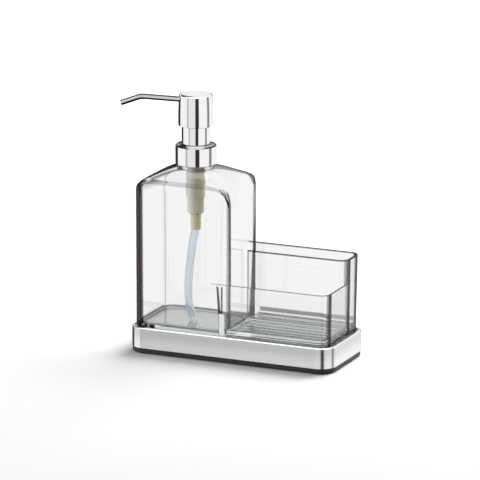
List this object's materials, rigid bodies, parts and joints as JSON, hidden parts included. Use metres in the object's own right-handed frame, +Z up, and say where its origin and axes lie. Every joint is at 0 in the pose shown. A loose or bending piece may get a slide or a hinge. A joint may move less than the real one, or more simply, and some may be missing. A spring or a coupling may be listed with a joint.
{
  "type": "sink organizer",
  "caption": "Footed brushed-steel tray holding a clear soap bottle with a press pump beside a clear two-height sponge and brush caddy.",
  "frame": {"origin": "on the standing surface, under the middle of the whole outline from spout tip to tray end", "axes": "+Z up, +X along the tray from the bottle to the caddy, +Y to the back"},
  "size_m": [0.2475, 0.0932, 0.2596],
  "materials": {
    "brushed_steel": "fine horizontal brushing on the skirt, satin deck",
    "polished_chrome": "mirror polished",
    "black_plastic": "fine moulded grain",
    "black_rubber": "matt",
    "clear_plastic": "clear polished moulding",
    "milky_plastic": "milky translucent moulding",
    "white_plastic": "smooth moulding",
    "tube_plastic": "pale translucent tube",
    "grey_seal": "soft seal",
    "spring_steel": "bright wire and balls"
  },
  "bodies": {
    "tray": {"steel_tray": "brushed_steel", "base_plate": "black_plastic", "foot_front_left": "black_rubber", "foot_front_right": "black_rubber", "foot_rear_left": "black_rubber", "foot_rear_right": "black_rubber"},
    "caddy": {"caddy": "clear_plastic"},
    "bottle": {"soap_bottle": "clear_plastic"},
    "pump": {"pump_housing": "milky_plastic", "guide_ring": "white_plastic", "stem_sleeve": "polished_chrome", "dip_tube": "tube_plastic", "return_spring": "spring_steel", "neck_gasket": "grey_seal"},
    "closure": {"chrome_collar": "polished_chrome", "threaded_closure": "white_plastic"},
    "plunger": {"piston_stem": "white_plastic", "piston_seal": "grey_seal"},
    "head": {"pump_head": "polished_chrome", "nozzle_core": "white_plastic", "nozzle_tube": "polished_chrome"},
    "inlet_valve": {"inlet_ball": "spring_steel"},
    "outlet_valve": {"outlet_ball": "spring_steel"}
  },
  "joints": [
    {"name": "caddy_lift", "type": "slide", "parent": "tray", "child": "caddy", "axis": [0, 0, 1], "range_m": [0, 0.12]},
    {"name": "bottle_lift", "type": "slide", "parent": "tray", "child": "bottle", "axis": [0, 0, 1], "range_m": [0, 0.12]},
    {"name": "pump_lift", "type": "slide", "parent": "bottle", "child": "pump", "axis": [0, 0, 1], "range_m": [0, 0.18]},
    {"name": "collar_turn", "type": "hinge", "parent": "pump", "child": "closure", "pos_m": [-0.0413, 0, 0.2], "axis": [0, 0, 1], "range_deg": [0, 540]},
    {"name": "pump_press", "type": "slide", "parent": "pump", "child": "plunger", "axis": [0, 0, -1], "range_m": [0, 0.015], "stiffness_N_per_m": 800, "springref_m": -0.008, "deforming": ["return_spring"]},
    {"name": "head_swivel", "type": "hinge", "parent": "plunger", "child": "head", "pos_m": [-0.0413, 0, 0.24], "axis": [0, 0, 1], "continuous": true},
    {"name": "inlet_lift", "type": "slide", "parent": "pump", "child": "inlet_valve", "axis": [0, 0, 1], "range_m": [0, 0.0025]},
    {"name": "outlet_lift", "type": "slide", "parent": "plunger", "child": "outlet_valve", "axis": [0, 0, 1], "range_m": [0, 0.002]}
  ]
}
